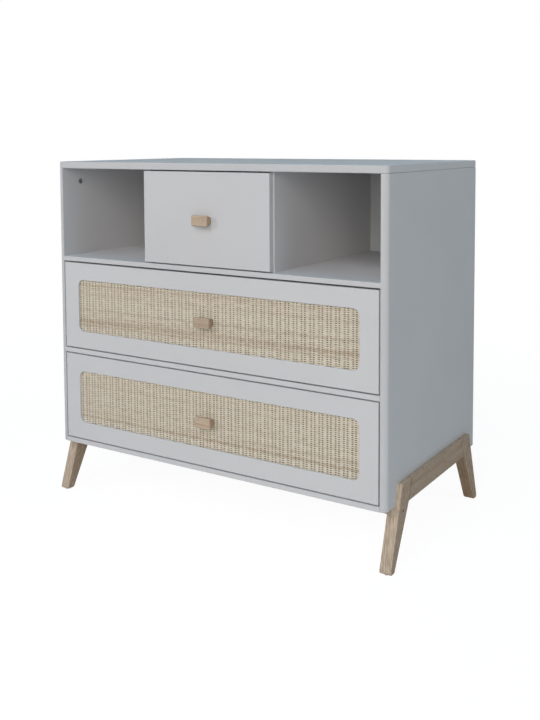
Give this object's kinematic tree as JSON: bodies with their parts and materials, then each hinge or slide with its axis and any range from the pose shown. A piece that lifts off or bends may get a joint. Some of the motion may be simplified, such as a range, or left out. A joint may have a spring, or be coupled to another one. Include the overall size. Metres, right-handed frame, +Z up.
{
  "type": "rattan chest of drawers",
  "caption": "Low chest with open niches beside a small drawer, wide drawers with framed woven rattan fronts, and splayed oak leg frames.",
  "frame": {"origin": "centre of the bounding box on the floor, with the drawers shut", "axes": "+X to the right seen from the front, +Y from the front to the back, +Z up; the drawers open towards -Y"},
  "size_m": [0.994, 0.562, 0.9],
  "materials": {
    "grey_paint": "satin light grey paint on fibreboard",
    "grey_board": "grey faced thin board",
    "drawer_box": "grey faced board",
    "oak": "matt oiled pale oak",
    "knob_oak": "matt oiled pale oak",
    "dowel_wood": "plain beech",
    "rattan": "natural woven rattan",
    "slide_steel": "zinc plated",
    "screw_steel": "dark plated",
    "zinc": "cast zinc",
    "glide_plastic": "matt"
  },
  "bodies": {
    "carcass": {"back_panel": "grey_board", "back_panel_screws": "screw_steel", "base_panel": "grey_paint", "cam_bolts": "zinc", "cam_locks": "zinc", "cross_rail_screws": "screw_steel", "drawer_divider": "grey_paint", "foot_glides": "glide_plastic", "front_cross_rail": "oak", "front_left_leg": "oak", "front_right_leg": "oak", "left_leg_rail": "oak", "left_partition": "grey_paint", "left_side_panel": "grey_paint", "leg_frame_screws": "screw_steel", "lower_drawer_cabinet_slides": "slide_steel", "niche_shelf": "grey_paint", "rear_left_leg": "oak", "rear_right_leg": "oak", "right_leg_rail": "oak", "right_partition": "grey_paint", "right_side_panel": "grey_paint", "top_drawer_cabinet_slides": "slide_steel", "top_panel": "grey_paint", "upper_drawer_cabinet_slides": "slide_steel", "wood_dowels": "dowel_wood"},
    "lower_drawer": {"lower_drawer_back": "drawer_box", "lower_drawer_backing_board": "grey_board", "lower_drawer_bottom": "drawer_box", "lower_drawer_front": "grey_paint", "lower_drawer_knob": "knob_oak", "lower_drawer_knob_screw": "screw_steel", "lower_drawer_left_side": "drawer_box", "lower_drawer_rattan_panel": "rattan", "lower_drawer_right_side": "drawer_box", "lower_drawer_slide_members": "slide_steel"},
    "top_drawer": {"top_drawer_back": "drawer_box", "top_drawer_bottom": "drawer_box", "top_drawer_front": "grey_paint", "top_drawer_knob": "knob_oak", "top_drawer_knob_screw": "screw_steel", "top_drawer_left_side": "drawer_box", "top_drawer_right_side": "drawer_box", "top_drawer_slide_members": "slide_steel"},
    "upper_drawer": {"upper_drawer_back": "drawer_box", "upper_drawer_backing_board": "grey_board", "upper_drawer_bottom": "drawer_box", "upper_drawer_front": "grey_paint", "upper_drawer_knob": "knob_oak", "upper_drawer_knob_screw": "screw_steel", "upper_drawer_left_side": "drawer_box", "upper_drawer_rattan_panel": "rattan", "upper_drawer_right_side": "drawer_box", "upper_drawer_slide_members": "slide_steel"}
  },
  "joints": [
    {"name": "top_drawer_travel", "type": "slide", "parent": "carcass", "child": "top_drawer", "axis": [0, -1, 0], "range_m": [0, 0.33]},
    {"name": "upper_drawer_travel", "type": "slide", "parent": "carcass", "child": "upper_drawer", "axis": [0, -1, 0], "range_m": [0, 0.33]},
    {"name": "lower_drawer_travel", "type": "slide", "parent": "carcass", "child": "lower_drawer", "axis": [0, -1, 0], "range_m": [0, 0.33]}
  ]
}
